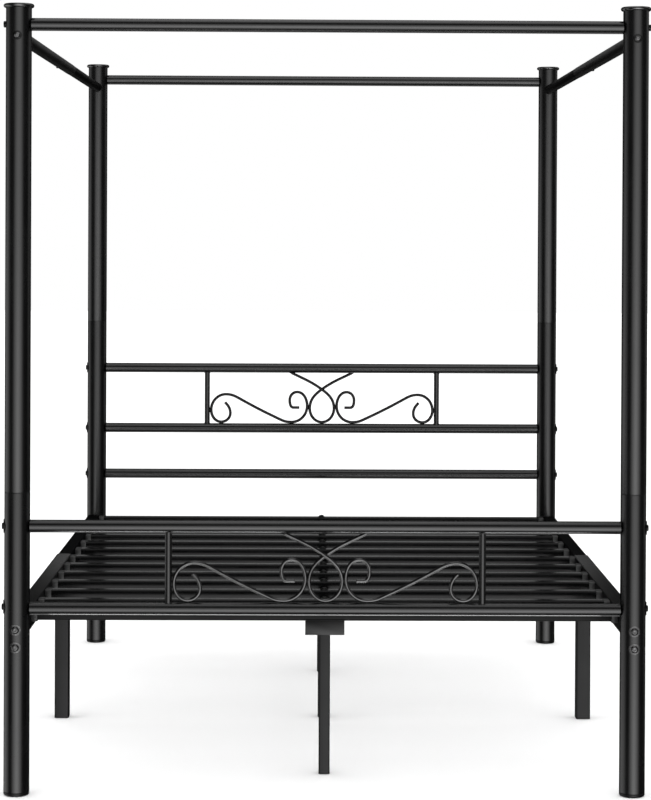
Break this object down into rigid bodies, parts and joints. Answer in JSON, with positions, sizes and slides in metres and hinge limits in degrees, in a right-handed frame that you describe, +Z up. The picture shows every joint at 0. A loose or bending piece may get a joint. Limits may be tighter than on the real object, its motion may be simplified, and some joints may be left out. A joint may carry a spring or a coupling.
{
  "type": "four poster canopy bed",
  "caption": "Four poster canopy bed frame of round steel tube: canopy rails, headboard and footboard with wire scroll panels, and a slatted base on side rails and a centre beam.",
  "frame": {"origin": "on the floor under the middle of the bed", "axes": "+Z up, +Y from the foot end towards the headboard, +X to the right seen from the foot end"},
  "size_m": [1.511, 2.046, 1.845],
  "materials": {
    "powder_coat": "semi-gloss black powder coat with a very fine texture",
    "cap_plastic": "satin black moulded plastic"
  },
  "bodies": {
    "root": {"post_lower_foot_left": "powder_coat", "post_upper_foot_left": "powder_coat", "post_lower_foot_right": "powder_coat", "post_upper_foot_right": "powder_coat", "post_lower_head_left": "powder_coat", "post_upper_head_left": "powder_coat", "post_lower_head_right": "powder_coat", "post_upper_head_right": "powder_coat", "canopy_rail_foot": "powder_coat", "canopy_rail_head": "powder_coat", "canopy_side_foot_left": "powder_coat", "canopy_side_foot_right": "powder_coat", "canopy_side_head_left": "powder_coat", "canopy_side_head_right": "powder_coat", "headboard_top_rail": "powder_coat", "headboard_mid_rail": "powder_coat", "headboard_low_rail": "powder_coat", "footboard_top_rail": "powder_coat", "footboard_low_rail": "powder_coat", "headboard_upright_left": "powder_coat", "headboard_upright_right": "powder_coat", "headboard_scroll_left": "powder_coat", "headboard_scroll_right": "powder_coat", "headboard_ribbon": "powder_coat", "footboard_upright_left": "powder_coat", "footboard_upright_right": "powder_coat", "footboard_scroll_left": "powder_coat", "footboard_scroll_right": "powder_coat", "footboard_ribbon": "powder_coat", "side_rail_foot_left": "powder_coat", "side_rail_foot_right": "powder_coat", "side_rail_head_left": "powder_coat", "side_rail_head_right": "powder_coat", "centre_beam": "powder_coat", "side_leg_left": "powder_coat", "side_leg_right": "powder_coat", "centre_leg_1": "powder_coat", "centre_leg_2": "powder_coat", "centre_leg_3": "powder_coat", "slat_01": "powder_coat", "slat_02": "powder_coat", "slat_03": "powder_coat", "slat_04": "powder_coat", "slat_05": "powder_coat", "slat_06": "powder_coat", "slat_07": "powder_coat", "slat_08": "powder_coat", "slat_09": "powder_coat", "slat_10": "powder_coat", "slat_11": "powder_coat", "slat_12": "powder_coat", "slat_13": "powder_coat", "post_cap_foot_left": "cap_plastic", "foot_plug_foot_left": "cap_plastic", "post_cap_foot_right": "cap_plastic", "foot_plug_foot_right": "cap_plastic", "post_cap_head_left": "cap_plastic", "foot_plug_head_left": "cap_plastic", "post_cap_head_right": "cap_plastic", "foot_plug_head_right": "cap_plastic"}
  },
  "joints": []
}
